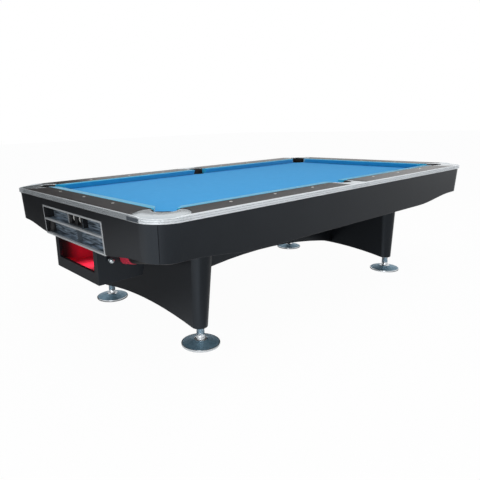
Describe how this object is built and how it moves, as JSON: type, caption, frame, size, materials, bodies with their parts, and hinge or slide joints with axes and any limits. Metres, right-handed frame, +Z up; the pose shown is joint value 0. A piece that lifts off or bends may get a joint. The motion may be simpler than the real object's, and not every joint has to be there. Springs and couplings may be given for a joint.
{
  "type": "pocket billiard table",
  "caption": "Pocket billiard table on pedestal legs with levelling feet, cloth bed, cushioned rails, metal pocket castings, ball return box and a score counter bay at one end.",
  "frame": {"origin": "on the floor under the middle of the table", "axes": "+X along the table from the foot end with the score bay to the head end, +Y across it to the far long side, +Z up"},
  "size_m": [2.95, 1.68, 0.828],
  "materials": {
    "black_laminate": "satin black laminate on board",
    "dark_rail_wood": "dark brown wood with a satin lacquer",
    "blue_cloth": "napless blue billiard cloth",
    "cushion_rubber": "rubber covered in blue billiard cloth",
    "slate_stone": "honed slate",
    "frame_wood": "plain timber",
    "polished_casting": "polished casting",
    "satin_aluminium": "satin anodised",
    "chromed_steel": "bright chrome",
    "liner_rubber": "matt black moulded rubber",
    "black_plastic": "satin black moulding",
    "white_plastic": "white moulding",
    "red_lining": "red moulded tray"
  },
  "bodies": {
    "table": {"foot_pedestal": "black_laminate", "head_pedestal": "black_laminate", "stretcher": "black_laminate", "slate_frame": "frame_wood", "foot_slate": "slate_stone", "middle_slate": "slate_stone", "head_slate": "slate_stone", "bed_cloth": "blue_cloth", "near_foot_rail": "dark_rail_wood", "near_head_rail": "dark_rail_wood", "far_foot_rail": "dark_rail_wood", "far_head_rail": "dark_rail_wood", "foot_rail": "dark_rail_wood", "head_rail": "dark_rail_wood", "near_foot_cushion": "cushion_rubber", "near_head_cushion": "cushion_rubber", "far_foot_cushion": "cushion_rubber", "far_head_cushion": "cushion_rubber", "foot_cushion": "cushion_rubber", "head_cushion": "cushion_rubber", "near_foot_casting": "polished_casting", "near_head_casting": "polished_casting", "far_foot_casting": "polished_casting", "far_head_casting": "polished_casting", "near_side_casting": "polished_casting", "far_side_casting": "polished_casting", "near_foot_liner": "liner_rubber", "near_head_liner": "liner_rubber", "far_foot_liner": "liner_rubber", "far_head_liner": "liner_rubber", "near_side_liner": "liner_rubber", "far_side_liner": "liner_rubber", "near_foot_trim": "satin_aluminium", "near_head_trim": "satin_aluminium", "far_foot_trim": "satin_aluminium", "far_head_trim": "satin_aluminium", "foot_trim": "satin_aluminium", "head_trim": "satin_aluminium", "near_apron": "black_laminate", "far_apron": "black_laminate", "foot_apron": "black_laminate", "head_apron": "black_laminate", "score_bezel": "satin_aluminium", "score_tray": "satin_aluminium", "counter_housing": "black_plastic", "drum_axle": "chromed_steel", "ball_box": "black_laminate", "ball_box_lining": "red_lining", "near_head_gutter": "black_plastic", "near_foot_gutter": "black_plastic", "near_end_gutter": "black_plastic", "far_head_gutter": "black_plastic", "far_foot_gutter": "black_plastic", "far_end_gutter": "black_plastic"},
    "near_foot_leveller": {"near_foot_levelling_foot": "chromed_steel"},
    "near_head_leveller": {"near_head_levelling_foot": "chromed_steel"},
    "far_foot_leveller": {"far_foot_levelling_foot": "chromed_steel"},
    "far_head_leveller": {"far_head_levelling_foot": "chromed_steel"},
    "near_counter": {"near_drum": "white_plastic"},
    "far_counter": {"far_drum": "white_plastic"}
  },
  "joints": [
    {"name": "near_foot_level", "type": "slide", "parent": "table", "child": "near_foot_leveller", "axis": [0, 0, 1], "range_m": [-0.025, 0.015]},
    {"name": "near_head_level", "type": "slide", "parent": "table", "child": "near_head_leveller", "axis": [0, 0, 1], "range_m": [-0.025, 0.015]},
    {"name": "far_foot_level", "type": "slide", "parent": "table", "child": "far_foot_leveller", "axis": [0, 0, 1], "range_m": [-0.025, 0.015]},
    {"name": "far_head_level", "type": "slide", "parent": "table", "child": "far_head_leveller", "axis": [0, 0, 1], "range_m": [-0.025, 0.015]},
    {"name": "near_counter_turn", "type": "hinge", "parent": "table", "child": "near_counter", "pos_m": [-1.39019, -0.037, 0.71225], "axis": [0, 1, 0], "continuous": true},
    {"name": "far_counter_turn", "type": "hinge", "parent": "table", "child": "far_counter", "pos_m": [-1.39019, 0.037, 0.71225], "axis": [0, 1, 0], "continuous": true}
  ]
}
